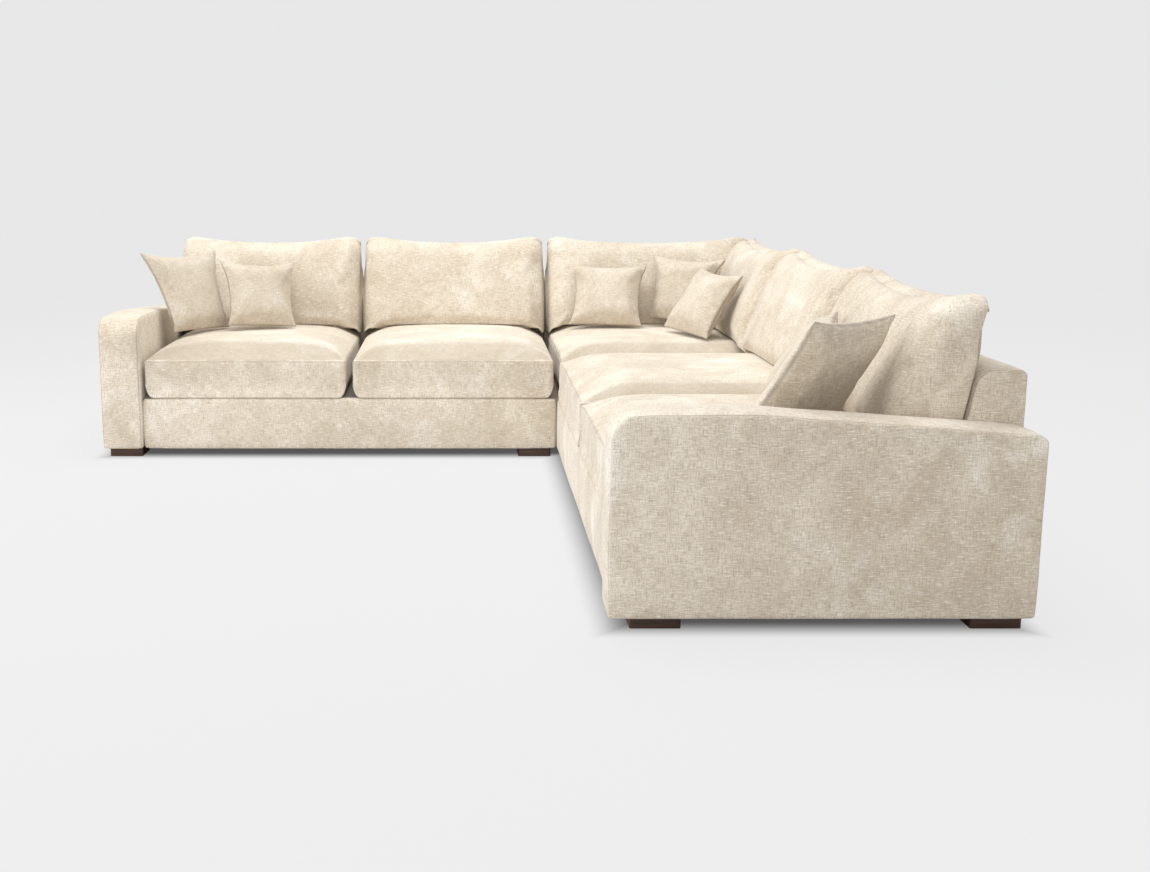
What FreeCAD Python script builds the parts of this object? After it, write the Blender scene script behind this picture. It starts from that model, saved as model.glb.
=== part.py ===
# Corner sofa in two units, with a long run of three seats joined to a shorter run of two.
#
# Each unit has a timber base on low block feet, woven seat webbing under a felt deck, one arm and
# its own backs. The units hook together under the base. Five loose seat cushions, six loose back
# cushions and seven scatter cushions lie on it.
#
# Frame: millimetres, +Z up, +Y to the rear wall, +X to the right as seen from the front. The origin
# is at the middle of the footprint, on the floor.
import FreeCAD, Part
import math
import os
import Sketcher

os.makedirs("parts", exist_ok=True)
doc = FreeCAD.newDocument("corner_sofa")
Vector = FreeCAD.Vector

# The driving dimensions. Everything else is worked out from these.
dims = doc.addObject("Spreadsheet::Sheet", "dims")
driving_dimensions = {
    "overall_width": 3000,
    "overall_depth": 3333,
    "unit_depth": 1124,
    "arm_width": 170,
    "arm_proud": 20,
    "arm_front_top": 583,
    "arm_slope_start": 378,
    "arm_rear_top": 529,
    "arm_front_round": 75,
    "arm_rear_round": 30,
    "arm_edge_round": 18,
    "foot_height": 35,
    "foot_side": 136,
    "foot_inset": 22,
    "foot_setback": 45,
    "deck_top": 249,
    "border_thick": 30,
    "padding": 22,
    "back_top": 673,
    "back_foot_thick": 174.5,
    "back_head_thick": 134,
    "back_lean_start": 455,
    "back_round": 45,
    "corner_seat_length": 950,
    "timber": 30,
    "rail_top": 216,
    "cushion_gap": 3,
    "seat_bottom": 250,
    "seat_seam": 405,
    "seat_crown": 464,
    "seat_corner_round": 42,
    "back_cushion_front": 760,
    "back_cushion_base": 166,
    "back_cushion_head": 84,
    "back_cushion_top": 868,
    "back_cushion_crown": 30,
    "back_cushion_swell": 24,
    "strap_width": 50,
    "strap_thick": 1.6,
    "strap_play": 0.2,
    "dust_cover_thick": 1.2,
    "board_thick": 15,
    "post_depth": 60,
    "back_rail_height": 60,
}
for row, (alias, size) in enumerate(driving_dimensions.items(), start=1):
    dims.set("A%d" % row, alias)
    dims.set("B%d" % row, str(size))
    dims.setAlias("B%d" % row, alias)
doc.recompute()

# Places that several pieces share, as formulas on the sheet. The rear run looks along -Y and the
# side run along -X. A run's own axes are x to the right when facing it, y from the front of its base
# to its outer back, z up.
BASE_DEPTH = "(dims.unit_depth - dims.arm_proud)"
SPLIT_X = "(dims.overall_width / 2 - dims.unit_depth + dims.arm_proud)"
ARM_INNER_X = "(dims.arm_width - dims.overall_width / 2)"
REAR_Y = "(dims.overall_depth / 2)"
REAR_BASE_Y = "(dims.overall_depth / 2 - dims.unit_depth + dims.arm_proud)"
BACK_FACE = "(dims.unit_depth - dims.arm_proud - dims.back_foot_thick)"
LEFT_LENGTH = "(%s - %s)" % (SPLIT_X, ARM_INNER_X)
SIDE_LENGTH = "(dims.overall_depth - dims.arm_width)"
FRAME_LOW = "(dims.foot_height + dims.dust_cover_thick)"

pieces = []


def value(formula):
    """the number that a formula on the sheet gives"""
    return float(dims.evalExpression(str(formula)))


def place(piece, across, along, up, turn=0):
    """puts a piece in the sofa's frame, turned about the upright axis"""
    piece.Placement = FreeCAD.Placement(Vector(0, 0, 0), FreeCAD.Rotation(Vector(0, 0, 1), turn))
    piece.setExpression("Placement.Base.x", str(across))
    piece.setExpression("Placement.Base.y", str(along))
    piece.setExpression("Placement.Base.z", str(up))


def on_rear_run(piece, start, up=0):
    """puts a piece drawn in run axes on the run along the rear"""
    place(piece, start, REAR_BASE_Y, up)


def on_side_run(piece, start=0, up=0):
    """puts a piece drawn in run axes on the run down the right side"""
    place(piece, SPLIT_X, "%s - %s" % (REAR_Y, start), up, turn=-90)


def on_left_arm(piece):
    """puts a piece drawn in arm axes, x from its front to its rear, at the left end"""
    place(piece, ARM_INNER_X, "%s - dims.arm_proud" % REAR_BASE_Y, 0, turn=90)


def on_right_arm(piece):
    """puts a piece drawn in arm axes at the near end of the side run"""
    place(piece, "%s - dims.arm_proud" % SPLIT_X, "-dims.overall_depth / 2", 0)


def keep(piece, label):
    """lists a finished piece under the name of its file"""
    piece.Label = label
    pieces.append(piece)
    return piece


def new_body(name):
    return doc.addObject("PartDesign::Body", name)


def outline_sketch(body, name, role, corners, lift=0):
    """a closed outline of straight lines, each corner held by two formulas"""
    sketch = body.newObject("Sketcher::SketchObject", name)
    plane = [part for part in body.Origin.OriginFeatures if part.Role == role][0]
    sketch.AttachmentSupport = [(plane, "")]
    sketch.MapMode = "FlatFace"
    sketch.AttachmentOffset = FreeCAD.Placement(Vector(0, 0, 0), FreeCAD.Rotation())
    sketch.setExpression("AttachmentOffset.Base.z", str(lift))
    spots = [Vector(value(u), value(v), 0) for u, v in corners]
    last = len(corners) - 1
    for index, spot in enumerate(spots):
        sketch.addGeometry(Part.LineSegment(spot, spots[0 if index == last else index + 1]))
    for index in range(len(corners)):
        following = 0 if index == last else index + 1
        sketch.addConstraint(Sketcher.Constraint("Coincident", index, 2, following, 1))
    for index, (u, v) in enumerate(corners):
        for kind, formula, axis in (("DistanceX", u, -2), ("DistanceY", v, -1)):
            size = value(formula)
            if abs(size) < 1e-9:
                sketch.addConstraint(Sketcher.Constraint("PointOnObject", index, 1, axis))
            else:
                number = sketch.addConstraint(Sketcher.Constraint(kind, -1, 1, index, 1, size))
                sketch.setExpression("Constraints[%d]" % number, str(formula))
    return sketch


def pad(body, sketch, length, backward=False):
    feature = body.newObject("PartDesign::Pad", sketch.Name + "_pad")
    feature.Profile = sketch
    feature.setExpression("Length", str(length))
    feature.Reversed = backward
    doc.recompute()
    return feature


def pocket(body, sketch, length, backward=False):
    """cuts an outline away and makes sure that something was cut"""
    before = body.Shape.Volume
    feature = body.newObject("PartDesign::Pocket", sketch.Name + "_pocket")
    feature.Profile = sketch
    feature.setExpression("Length", str(length))
    feature.Reversed = backward
    doc.recompute()
    if body.Shape.Volume > before - 1:
        raise ValueError("nothing was cut from %s" % body.Name)
    return feature


def fillet(body, name, base, radius, wanted):
    """rounds the edges of a feature that a test picks by their two ends"""
    edges = []
    for index, edge in enumerate(base.Shape.Edges, start=1):
        ends = [vertex.Point for vertex in edge.Vertexes]
        if len(ends) == 2 and wanted(ends[0], ends[1]):
            edges.append("Edge%d" % index)
    if not edges:
        raise ValueError("no edge to round on %s" % body.Name)
    feature = body.newObject("PartDesign::Fillet", name)
    feature.Base = (base, edges)
    feature.setExpression("Radius", str(radius))
    doc.recompute()
    return feature


def chamfer(body, name, base, size, wanted):
    """bevels the edges of a feature that a test picks by their two ends"""
    edges = ["Edge%d" % index for index, edge in enumerate(base.Shape.Edges, start=1)
             if wanted(edge.Vertexes[0].Point, edge.Vertexes[-1].Point)]
    feature = body.newObject("PartDesign::Chamfer", name)
    feature.Base = (base, edges)
    feature.Size = size
    doc.recompute()
    return feature


def block(name, corner, size):
    """a straight length of timber or board"""
    box = doc.addObject("Part::Box", name)
    for axis, formula in zip(("Length", "Width", "Height"), size):
        box.setExpression(axis, str(formula))
    place(box, *corner)
    return box


def group(name, members):
    """pieces of one kind that share a node, as separate solids"""
    compound = doc.addObject("Part::Compound", name)
    compound.Links = members
    return compound


def plus(*terms):
    return "(" + " + ".join(str(term) for term in terms) + ")"


def minus(first, *terms):
    return "(" + " - ".join([str(first)] + [str(term) for term in terms]) + ")"


# Arm covers: padded shells, open at the bottom, that drop over the arm frames. The top runs level
# from the front and then falls in one straight slope to the rear.
def arm_corners(inset, bottom):
    """the arm's side outline, drawn in all round by an inset"""
    return [
        (inset, bottom),
        (minus("dims.unit_depth", inset), bottom),
        (minus("dims.unit_depth", inset), minus("dims.arm_rear_top", inset)),
        ("dims.arm_slope_start", minus("dims.arm_front_top", inset)),
        (inset, minus("dims.arm_front_top", inset)),
    ]


def arm_cover(name, put):
    body = new_body(name)
    sketch = outline_sketch(body, name + "_side", "XZ_Plane", arm_corners(0, FRAME_LOW))
    shell = pad(body, sketch, "dims.arm_width", backward=True)
    depth = value("dims.unit_depth")
    top = value("dims.arm_front_top")
    floor = value(FRAME_LOW)

    def across(start, end, x_spot):
        return abs(start.x - x_spot) < 1 and abs(end.x - x_spot) < 1 and min(start.z, end.z) > floor + 1 \
            and abs(start.y - end.y) > 1

    front = fillet(body, name + "_front_round", shell, "dims.arm_front_round",
                   lambda start, end: across(start, end, 0) and start.z > top - 1)
    rear = fillet(body, name + "_rear_round", front, "dims.arm_rear_round",
                  lambda start, end: across(start, end, depth))
    fillet(body, name + "_edge_round", rear, "dims.arm_edge_round",
           lambda start, end: abs(start.y - end.y) < 0.01 and max(start.z, end.z) > floor + 1
           and (start - end).Length > 1)
    hollow = outline_sketch(body, name + "_hollow", "XZ_Plane", arm_corners("dims.padding", 0),
                            lift="-dims.padding")
    pocket(body, hollow, "dims.arm_width - 2 * dims.padding")
    put(body)
    return keep(body, name)


# Arm frames: two board sides cut to the arm's outline, held apart by upright blocks.
def arm_frame(name, put):
    clear = "(dims.padding + 1)"
    inside = "(dims.arm_width - 2 * dims.padding - 2)"
    members = []
    between = "(%s - 2 * dims.board_thick)" % inside
    between_from = "dims.padding + 1 + dims.board_thick"
    for side, lift in (("outer", "-dims.padding - 1"),
                       ("inner", "dims.padding + 1 + dims.board_thick - dims.arm_width")):
        body = new_body("%s_%s_board" % (name, side))
        sketch = outline_sketch(body, body.Name + "_outline", "XZ_Plane",
                                arm_corners(clear, FRAME_LOW), lift=lift)
        pad(body, sketch, "dims.board_thick", backward=True)
        members.append(body)
    members.append(block(name + "_foot_rail", (clear, between_from, FRAME_LOW),
                         ("dims.unit_depth - 2 * %s" % clear, between, 45)))
    for index, start in enumerate((clear, "dims.unit_depth * 0.35", "dims.unit_depth * 0.65",
                                   "dims.unit_depth - dims.padding - 1 - 45")):
        members.append(block("%s_upright_%d" % (name, index + 1),
                             (start, between_from, plus(FRAME_LOW, 45)),
                             (45, between, "dims.arm_rear_top - dims.padding - 125")))
    frame = group(name, members)
    put(frame)
    return keep(frame, name)


arm_cover("left_arm_cover", on_left_arm)
arm_cover("right_arm_cover", on_right_arm)
arm_frame("left_arm_frame", on_left_arm)
arm_frame("right_arm_frame", on_right_arm)


# Back covers: padded shells with an upright outer face, a leaning inner face and a rounded head.
# At the inner corner of the sofa two of them meet in a mitre.
def back_corners(inset, bottom):
    head = minus(BASE_DEPTH, "dims.back_head_thick")
    return [
        (plus(BACK_FACE, inset), bottom),
        (minus(BASE_DEPTH, inset), bottom),
        (minus(BASE_DEPTH, inset), minus("dims.back_top", inset)),
        (plus(head, inset), minus("dims.back_top", inset)),
        (plus(BACK_FACE, inset), "dims.back_lean_start"),
    ]


def back_cover(name, length, put, mitre=None):
    body = new_body(name)
    sketch = outline_sketch(body, name + "_section", "YZ_Plane", back_corners(0, FRAME_LOW))
    shell = pad(body, sketch, length)
    top = value("dims.back_top")
    head_y = value(BASE_DEPTH) - value("dims.back_head_thick")
    outer_y = value(BASE_DEPTH)
    inner = fillet(body, name + "_head_round", shell, "dims.back_round",
                   lambda start, end: abs(start.x - end.x) > 1 and start.z > top - 1
                   and abs(start.y - head_y) < 1)
    fillet(body, name + "_outer_round", inner, "dims.arm_edge_round",
           lambda start, end: abs(start.x - end.x) > 1 and start.z > top - 1 and abs(start.y - outer_y) < 1)
    near = "dims.padding"
    span = minus(length, "2 * dims.padding")
    if mitre == "left":
        near = plus("dims.back_foot_thick", "dims.padding")
        span = minus(length, "dims.back_foot_thick", "2 * dims.padding")
        cut = [(0, "%s - 1" % BACK_FACE), ("dims.back_foot_thick + 1", "%s - 1" % BACK_FACE), (0, BASE_DEPTH)]
    if mitre == "right":
        span = minus(length, "dims.back_foot_thick", "2 * dims.padding")
        cut = [("%s - dims.back_foot_thick - 1" % length, "%s - 1" % BACK_FACE),
               (length, "%s - 1" % BACK_FACE), (length, BASE_DEPTH)]
    hollow = outline_sketch(body, name + "_hollow", "YZ_Plane", back_corners("dims.padding", 0), lift=near)
    pocket(body, hollow, span, backward=True)
    if mitre:
        corner = outline_sketch(body, name + "_mitre", "XY_Plane", cut)
        pocket(body, corner, "dims.back_top + 10", backward=True)
    put(body)
    return keep(body, name)


# Back frames: upright posts between a foot rail and a head rail, inside the back covers.
def back_frame(name, start, end, put):
    rear = minus(BASE_DEPTH, "dims.padding", 1, "dims.post_depth")
    low = FRAME_LOW
    high = "(dims.back_top - dims.padding - 12)"
    length = minus(end, start)
    members = [
        block(name + "_foot_rail", (start, minus(rear, 40), low), (length, 100, "dims.back_rail_height")),
        block(name + "_head_rail", (start, rear, minus(high, 40)), (length, "dims.post_depth", 40)),
    ]
    count = max(2, round(value(length) / 560) + 1)
    for index in range(count):
        spot = "%s + (%s - 40) * %d / %d" % (start, length, index, count - 1)
        members.append(block("%s_post_%d" % (name, index + 1), (spot, rear, plus(low, "dims.back_rail_height")),
                             (40, "dims.post_depth", minus(high, low, "dims.back_rail_height", 40))))
    frame = group(name, members)
    put(frame)
    return keep(frame, name)


rear_of_left = lambda piece: on_rear_run(piece, ARM_INNER_X)
rear_of_corner = lambda piece: on_rear_run(piece, SPLIT_X)
back_runs = (
    ("left", LEFT_LENGTH, rear_of_left, None),
    ("corner", BASE_DEPTH, rear_of_corner, "right"),
    ("right", SIDE_LENGTH, on_side_run, "left"),
)
frame_ends = {}
for side, length, put, mitre in back_runs:
    back_cover(side + "_back_cover", length, put, mitre)
    start = plus("dims.padding", 1)
    end = minus(length, "dims.padding", 1)
    if mitre == "left":
        start = plus(start, "dims.back_foot_thick")
    if mitre == "right":
        end = minus(end, "dims.back_foot_thick")
    back_frame(side + "_back_frame", start, end, put)
    frame_ends[side] = (value(start), value(end))


# Front borders: the padded fronts of the base, under the seat cushions. The panels on the faces
# where the two units meet are of the same make in plain lining.
def border(name, length, put):
    body = new_body(name)
    sketch = outline_sketch(body, name + "_section", "YZ_Plane", [
        (0, FRAME_LOW), ("dims.border_thick", FRAME_LOW),
        ("dims.border_thick", "dims.deck_top"), (0, "dims.deck_top")])
    panel = pad(body, sketch, length)
    fillet(body, name + "_lower_round", panel, 12,
           lambda start, end: abs(start.x - end.x) > 1 and abs(start.y) < 0.1 and start.z < 100)
    put(body)
    return keep(body, name)


border("left_front_border", LEFT_LENGTH, rear_of_left)
border("right_front_border", minus(SIDE_LENGTH, BASE_DEPTH), lambda piece: on_side_run(piece, BASE_DEPTH))
border("right_joining_panel", minus(BASE_DEPTH, "dims.back_foot_thick"),
       lambda piece: on_side_run(piece, "dims.back_foot_thick"))
keep(block("left_joining_panel",
           (minus(SPLIT_X, "dims.border_thick"), plus(REAR_BASE_Y, "dims.border_thick"), FRAME_LOW),
           ("dims.border_thick", minus(BACK_FACE, "dims.border_thick"), minus("dims.deck_top", FRAME_LOW))),
     "left_joining_panel")


# Base frames: timber rails on edge. The webbing is tacked to the outer ones, and the cross rails
# between them stand lower, clear of it.
def base_frame(name, start, end, put, corner_block):
    front = "dims.border_thick"
    low = FRAME_LOW
    tall = minus("dims.rail_top", low)
    length = minus(end, start)
    span = minus(BACK_FACE, front, "2 * dims.timber")
    members = [
        block(name + "_front_rail", (start, front, low), (length, "dims.timber", tall)),
        block(name + "_rear_rail", (start, minus(BACK_FACE, "dims.timber"), low), (length, "dims.timber", tall)),
    ]
    count = round(value(length) / 500) + 1
    for index in range(count):
        outer = index in (0, count - 1)
        spot = "%s + (%s - dims.timber) * %d / %d" % (start, length, index, count - 1)
        members.append(block("%s_cross_rail_%d" % (name, index + 1), (spot, plus(front, "dims.timber"), low),
                             ("dims.timber", span, tall if outer else minus(tall, 20))))
    if corner_block:
        members.append(block(name + "_corner_block",
                             (minus(end, "dims.timber", 105), plus(front, "dims.timber"), low), (105, 105, 45)))
    frame = group(name, members)
    put(frame)
    return keep(frame, name)


base_frame("left_base_frame", 0, minus(LEFT_LENGTH, "dims.border_thick"), rear_of_left, corner_block=True)
base_frame("right_base_frame", "dims.back_foot_thick", SIDE_LENGTH, on_side_run, corner_block=False)


# Webbing: flat straps in a plain weave. The straps from front to back lie straight, and those
# across them pass over one and under the next.
def level_strap(start, width, from_y, to_y, thick):
    return Part.makeBox(width, to_y - from_y, thick, Vector(start, from_y, 0))


def woven_strap(from_x, to_x, near_y, width, thick, crossings, over_first):
    """a cross strap, its middle line stepping above and below the straight ones"""
    step = thick + value("dims.strap_play")
    reach = width / 2 + 6
    on_rail = value("dims.timber") + 2
    spine = [(from_x, 0.0), (from_x + on_rail, 0.0)]
    for index, spot in enumerate(crossings):
        level = step if (index % 2 == 0) == over_first else -step
        spine.append((spot - reach, level))
        spine.append((spot + reach, level))
    spine += [(to_x - on_rail, 0.0), (to_x, 0.0)]
    upper = [Vector(x, near_y, z + thick) for x, z in spine]
    lower = [Vector(x, near_y, z) for x, z in reversed(spine)]
    side = Part.Face(Part.makePolygon(upper + lower + [upper[0]]))
    return side.extrude(Vector(0, width, 0))


def webbing(name, from_x, to_x, from_y, to_y, across_count, along_count, upright, put):
    """a panel of woven straps, level for a seat or stood up for a back"""
    width = value("dims.strap_width")
    thick = value("dims.strap_thick")
    pitch = (to_x - from_x) / across_count
    crossings = [from_x + pitch * (index + 0.5) for index in range(across_count)]
    straps = [level_strap(spot - width / 2, width, from_y, to_y, thick) for spot in crossings]
    rise = (to_y - from_y) / along_count
    for index in range(along_count):
        near = from_y + rise * (index + 0.5) - width / 2
        straps.append(woven_strap(from_x, to_x, near, width, thick, crossings, index % 2 == 0))
    panel = Part.makeCompound(straps)
    if upright:
        panel.rotate(Vector(0, 0, 0), Vector(1, 0, 0), 90)
        post_face = value(minus(BASE_DEPTH, "dims.padding", 1, "dims.post_depth"))
        panel.translate(Vector(0, post_face - thick - value("dims.strap_play"), 0))
    else:
        panel.translate(Vector(0, 0, value("dims.rail_top")))
    piece = doc.addObject("Part::Feature", name)
    piece.Shape = Part.makeCompound([panel])
    put(piece)
    return keep(piece, name)


rail_inset = value("dims.border_thick")
webbing("left_seat_webbing", 0, value(LEFT_LENGTH) - rail_inset, rail_inset, value(BACK_FACE),
        11, 4, False, rear_of_left)
webbing("right_seat_webbing", value("dims.back_foot_thick"), value(SIDE_LENGTH), rail_inset,
        value(BACK_FACE), 18, 4, False, on_side_run)
for side, length, put, mitre in back_runs:
    first, last = frame_ends[side]
    webbing(side + "_back_webbing", first, last, value(FRAME_LOW) + value("dims.back_rail_height"),
            value("dims.back_top") - 45,
            max(4, round((last - first) / 240)), 3, True, put)


# Seat decks: felt pads that cover the webbing and carry the seat cushions.
STRAP_BUILD = "(2 * dims.strap_thick + dims.strap_play)"


def seat_deck(name, start, end, put):
    body = new_body(name)
    sketch = outline_sketch(body, name + "_outline", "XY_Plane", [
        (start, "dims.border_thick"), (end, "dims.border_thick"), (end, BACK_FACE), (start, BACK_FACE)],
        lift=plus("dims.rail_top", STRAP_BUILD))
    pad(body, sketch, minus("dims.deck_top", "dims.rail_top", STRAP_BUILD))
    put(body)
    return keep(body, name)


seat_deck("left_seat_deck", 0, minus(LEFT_LENGTH, "dims.border_thick"), rear_of_left)
seat_deck("right_seat_deck", "dims.back_foot_thick", SIDE_LENGTH, on_side_run)

# Feet: low square blocks, bored from below for a bolt, set in from the sides and further from the
# front. The long unit has a pair at its middle.
FOOT_HALF = "(dims.foot_side / 2)"
left_start = "-dims.overall_width / 2 + dims.foot_inset"
left_end = "%s - dims.foot_inset - dims.foot_side" % SPLIT_X
rear_row = "%s - dims.foot_setback - dims.foot_side" % REAR_Y
near_row = "-dims.overall_depth / 2 + dims.foot_setback"
front_row = "%s - dims.arm_proud + dims.foot_setback" % REAR_BASE_Y
side_left = "%s + dims.foot_setback" % SPLIT_X
side_right = "dims.overall_width / 2 - dims.foot_inset - dims.foot_side"
foot_places = {
    "left_front_outer_foot": (left_start, front_row),
    "left_front_inner_foot": (left_end, front_row),
    "left_rear_outer_foot": (left_start, rear_row),
    "left_rear_inner_foot": (left_end, rear_row),
    "right_near_inner_foot": (side_left, near_row),
    "right_near_outer_foot": (side_right, near_row),
    "right_middle_inner_foot": (side_left, "-dims.foot_side / 2"),
    "right_middle_outer_foot": (side_right, "-dims.foot_side / 2"),
    "right_far_inner_foot": (side_left, rear_row),
    "right_far_outer_foot": (side_right, "%s - dims.back_foot_thick - dims.foot_side / 2" % rear_row),
}


def foot(name, across, along):
    body = new_body(name)
    sketch = outline_sketch(body, name + "_outline", "XY_Plane", [
        (0, 0), ("dims.foot_side", 0), ("dims.foot_side", "dims.foot_side"), (0, "dims.foot_side")])
    solid = pad(body, sketch, "dims.foot_height")
    chamfer(body, name + "_bevel", solid, 4, lambda start, end: abs(start.z - end.z) > 1)
    recess = []
    for index in range(8):
        angle = math.radians(45 * index + 22.5)
        recess.append((plus(FOOT_HALF, round(11 * math.cos(angle), 3)),
                       plus(FOOT_HALF, round(11 * math.sin(angle), 3))))
    pocket(body, outline_sketch(body, name + "_recess", "XY_Plane", recess), 16, backward=True)
    place(body, across, along, 0)
    return keep(body, name)


def hex_bolt(name, head_radius, head_height, shank_radius, length, across, along, up):
    """a hexagon-headed bolt standing on its head"""
    head = doc.addObject("Part::Prism", name + "_head")
    head.Polygon = 6
    head.Circumradius = head_radius
    head.Height = head_height
    shank = doc.addObject("Part::Cylinder", name + "_shank")
    shank.Radius = shank_radius
    shank.Height = length
    bolt = doc.addObject("Part::Fuse", name)
    bolt.Base = head
    bolt.Tool = shank
    place(bolt, across, along, up)
    return bolt


def bolt_hole(name, radius, across, along, up):
    """a tool for cutting a clearance hole"""
    hole = doc.addObject("Part::Prism", name)
    hole.Polygon = 8
    hole.Circumradius = radius
    hole.Height = 10
    place(hole, across, along, up)
    return hole


for name, (across, along) in foot_places.items():
    foot(name, across, along)
for side in ("left", "right"):
    bolts = [hex_bolt(name + "_bolt", 8, 6, 4, 65, plus(across, FOOT_HALF), plus(along, FOOT_HALF), 10)
             for name, (across, along) in foot_places.items() if name.startswith(side)]
    keep(group(side + "_foot_bolts", bolts), side + "_foot_bolts")


# Dust covers: thin cloth sheets under each unit, with a hole for every foot bolt.
def dust_cover(name, corner, size, side):
    sheet = block(name + "_sheet", corner, size)
    holes = []
    for foot_name, (across, along) in foot_places.items():
        if foot_name.startswith(side):
            holes.append(bolt_hole("%s_hole_for_%s" % (name, foot_name), 4.8, plus(across, FOOT_HALF),
                                   plus(along, FOOT_HALF), "dims.foot_height - 5"))
    cover = doc.addObject("Part::Cut", name)
    cover.Base = sheet
    cover.Tool = group(name + "_holes", holes)
    return keep(cover, name)


edge = "(dims.padding + 1)"
dust_cover("left_dust_cover",
           ("-dims.overall_width / 2 + %s" % edge, "%s + dims.border_thick" % REAR_BASE_Y, "dims.foot_height"),
           ("%s + dims.overall_width / 2 - %s - dims.border_thick" % (SPLIT_X, edge),
            "%s - dims.border_thick - %s" % (BASE_DEPTH, edge), "dims.dust_cover_thick"), "left")
dust_cover("right_dust_cover",
           ("%s + dims.border_thick" % SPLIT_X, "-dims.overall_depth / 2 + %s" % edge, "dims.foot_height"),
           ("%s - dims.border_thick - %s" % (BASE_DEPTH, edge), "dims.overall_depth - 2 * %s" % edge,
            "dims.dust_cover_thick"), "right")


# Unit connectors: a hook plate under the left unit slides into a hat-shaped socket under the right
# one, once near the front and once near the rear. Each plate has two screws into the rail above.
connector_rows = (plus(REAR_BASE_Y, 260), minus(REAR_Y, 290))
screw_steps = (38, 54)


def hook(name, along):
    body = new_body(name)
    profile = outline_sketch(body, name + "_side", "XZ_Plane", [
        (-90, 32), (-24, 32), (-24, 27), (40, 27), (40, 30), (-20, 30), (-20, 35), (-90, 35)])
    pad(body, profile, 50, backward=True)
    place(body, SPLIT_X, minus(along, 25), 0)
    return body


def socket(name, along):
    body = new_body(name)
    profile = outline_sketch(body, name + "_end", "YZ_Plane", [
        (-50, 35), (-50, 32), (-30, 32), (-30, 22), (30, 22), (30, 32), (50, 32), (50, 35),
        (27, 35), (27, 25), (-27, 25), (-27, 35)])
    pad(body, profile, 70)
    place(body, plus(SPLIT_X, 10), along, 0)
    return body


def drilled(name, plates, spots):
    """the plates with a clearance hole at each screw"""
    cut = doc.addObject("Part::Cut", name)
    cut.Base = group(name + "_plates", plates)
    cut.Tool = group(name + "_holes", [bolt_hole("%s_hole_%d" % (name, index + 1), 2.4, across, along, 28)
                                       for index, (across, along) in enumerate(spots)])
    return keep(cut, name)


hook_screws = [(minus(SPLIT_X, step), plus(row, side)) for row in connector_rows
               for step, side in zip(screw_steps, (-14, 14))]
socket_screws = [(plus(SPLIT_X, step), plus(row, side)) for row in connector_rows
                 for step, side in zip(screw_steps, (-40, 40))]
drilled("left_connector_hooks", [hook("hook_%d" % index, row) for index, row in enumerate(connector_rows)],
        hook_screws)
drilled("right_connector_sockets", [socket("socket_%d" % index, row) for index, row in enumerate(connector_rows)],
        socket_screws)
keep(group("connector_screws", [hex_bolt("connector_screw_%d" % index, 5, 2.5, 2, 30, across, along, 29.5)
                                for index, (across, along) in enumerate(hook_screws + socket_screws)]),
     "connector_screws")


# Loose cushions. Each is a loft of straight rulings through sections made of lines and arcs.
def flat_where_flat(solid):
    """the same solid with a true plane for each face that is flat"""
    faces = []
    for face in solid.Faces:
        edges = face.OuterWire.OrderedEdges
        corners = [vertex.Point for vertex in face.OuterWire.OrderedVertexes]
        straight = all(abs(edge.Length - (edge.Vertexes[0].Point - edge.Vertexes[-1].Point).Length) < 1e-6
                       for edge in edges)
        flat = face.OuterWire.findPlane(0.001) is not None
        faces.append(Part.Face(Part.makePolygon(corners + [corners[0]])) if flat and straight else face)
    shell = Part.makeShell(faces)
    shell.sewShape()
    closed = Part.makeSolid(shell)
    return closed if closed.Volume > 0 else closed.reversed()


def bowed(start, end, bow):
    """an arc whose middle stands off its chord by the vector bow"""
    return Part.Arc(start, (start + end) * 0.5 + bow, end).toShape()


def soft_piece(name, solid, put):
    piece = doc.addObject("Part::Feature", name)
    piece.Shape = solid
    put(piece)
    return keep(piece, name)


# Towards each side of a seat or back cushion its surfaces fall away in these steps, counted from the
# side: the seat's crown drops, its lower edge lifts, the back's head rises to an ear and drops
# behind it, and the back's front draws in. The last value of each is the one at mid-width.
SIDE_STEPS = (0, 8, 25, 60, 110, 180, 290)
CROWN_DROPS = (44, 33, 21, 11, 5, 2, 0, 0)
LOWER_LIFTS = (1, 0.57, 0.21, 0, 0, 0, 0, 0)
EAR_DROPS = (30, 14, 4, 0, 5, 13, 24, 30)
SWELL_LOSSES = (28, 22, 15, 9, 5, 2, 1, 0)
half_gap = value("dims.cushion_gap") / 2
crown_top = value("dims.seat_crown")
seam_top = value("dims.seat_seam")
head_top = value("dims.back_cushion_top")


def both_sides(width):
    """section places from one side of a cushion to the other, each with its step's number"""
    rising = [(step, number) for number, step in enumerate(SIDE_STEPS)]
    falling = [(width - step, number) for step, number in reversed(rising)]
    stations = rising + [(width / 2, len(SIDE_STEPS))] + falling
    return [(across + half_gap * (1 - 2 * across / width), number) for across, number in stations]


def seat_cushion(name, width, front, seam, roll, lower_round, put):
    bottom = value("dims.seat_bottom")
    rear = value(BACK_FACE) - value("dims.cushion_gap")
    sections = []
    for x, number in both_sides(width):
        low = bottom + lower_round * LOWER_LIFTS[number]
        top = crown_top - CROWN_DROPS[number]
        corners = [Vector(x, front, low), Vector(x, rear, low), Vector(x, rear, top),
                   Vector(x, front + roll, top), Vector(x, front, seam)]
        sections.append(Part.Wire([
            Part.makeLine(corners[0], corners[1]),
            Part.makeLine(corners[1], corners[2]),
            Part.makeLine(corners[2], corners[3]),
            bowed(corners[3], corners[4], Vector(0, -4, 14)),
            Part.makeLine(corners[4], corners[0]),
        ]))
    return soft_piece(name, flat_where_flat(Part.makeLoft(sections, True, True)), put)


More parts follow.
